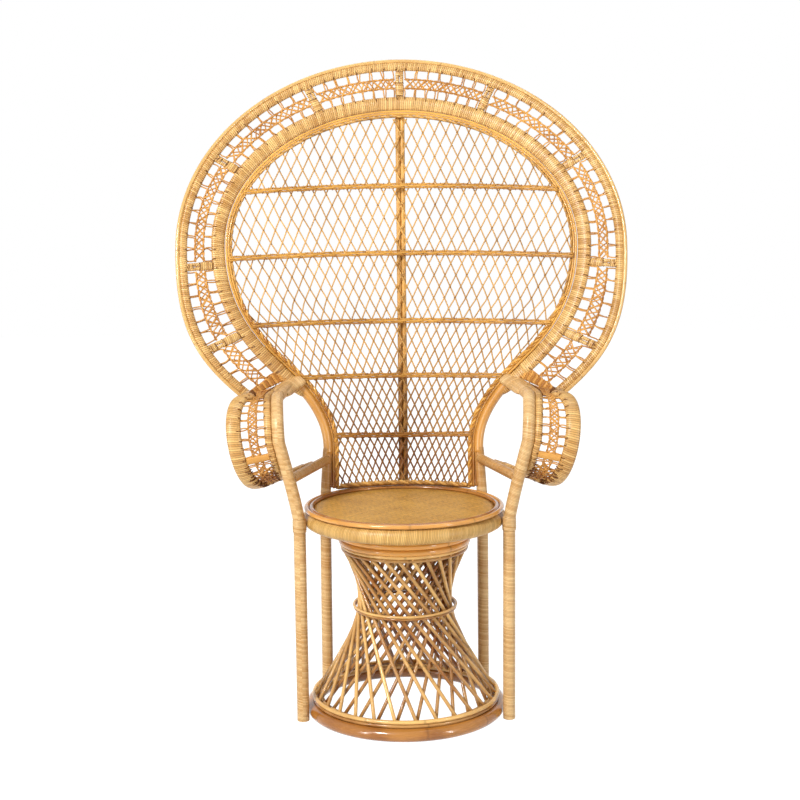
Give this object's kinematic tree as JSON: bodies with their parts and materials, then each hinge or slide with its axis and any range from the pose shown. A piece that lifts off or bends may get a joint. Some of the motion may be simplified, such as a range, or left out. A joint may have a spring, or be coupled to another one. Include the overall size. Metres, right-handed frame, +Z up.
{
  "type": "peacock chair",
  "caption": "High fan-backed cane chair on an hourglass pedestal of crossed rods, with laced border and scrolled arms",
  "frame": {"origin": "middle of the chair's bounding box in plan, on the floor", "axes": "+Z up, the sitter faces -Y, +X is the sitter's left hand side as seen from the back, right in the front view"},
  "size_m": [1.0268, 0.5878, 1.4656],
  "materials": {
    "wrapped_cane": "golden tan split cane wound side by side, satin",
    "rattan_pole": "brown round rattan, lacquered",
    "rattan_rod": "honey coloured round reed, lacquered",
    "lattice_cane": "thin round reed, satin",
    "woven_seat": "plaited flat cane, satin"
  },
  "bodies": {
    "root": {"base_ring": "rattan_pole", "spokes_outer": "rattan_rod", "spokes_inner": "rattan_rod", "waist_ring": "rattan_rod", "pedestal_ring": "rattan_pole", "seat_brace_right": "rattan_pole", "seat_brace_left": "rattan_pole", "seat_ring": "wrapped_cane", "seat_panel": "woven_seat", "seat_rim_inner": "rattan_pole", "seat_rim_outer": "rattan_pole", "front_post_right": "wrapped_cane", "front_post_left": "wrapped_cane", "rear_leg_right": "wrapped_cane", "rear_leg_left": "wrapped_cane", "side_rail_right": "wrapped_cane", "side_rail_left": "wrapped_cane", "rim_rod": "rattan_rod", "border_outer_band": "wrapped_cane", "border_inner_band": "wrapped_cane", "border_spar_1": "wrapped_cane", "border_spar_2": "wrapped_cane", "border_spar_3": "wrapped_cane", "border_spar_4": "wrapped_cane", "border_spar_5": "wrapped_cane", "border_spar_6": "wrapped_cane", "border_spar_7": "wrapped_cane", "border_spar_8": "wrapped_cane", "border_spar_9": "wrapped_cane", "border_lace_1": "rattan_rod", "border_lace_2": "rattan_rod", "border_lace_3": "rattan_rod", "border_lace_4": "rattan_rod", "border_lace_5": "rattan_rod", "border_lace_6": "rattan_rod", "border_lace_7": "rattan_rod", "border_lace_8": "rattan_rod", "border_lace_9": "rattan_rod", "border_lace_10": "rattan_rod", "neck_pole_right": "rattan_pole", "neck_pole_left": "rattan_pole", "trim_rod_middle": "rattan_rod", "trim_rod_outer": "rattan_rod", "lattice_front": "lattice_cane", "lattice_rear": "lattice_cane", "centre_stake": "rattan_pole", "crossbar_1": "rattan_rod", "crossbar_2": "rattan_rod", "crossbar_3": "rattan_rod", "crossbar_4": "rattan_rod", "crossbar_5": "rattan_rod", "arm_outer_rail_right": "wrapped_cane", "arm_outer_rail_left": "wrapped_cane", "arm_inner_rail_right": "wrapped_cane", "arm_inner_rail_left": "wrapped_cane", "arm_lace_right": "rattan_rod", "arm_lace_left": "rattan_rod"}
  },
  "joints": []
}
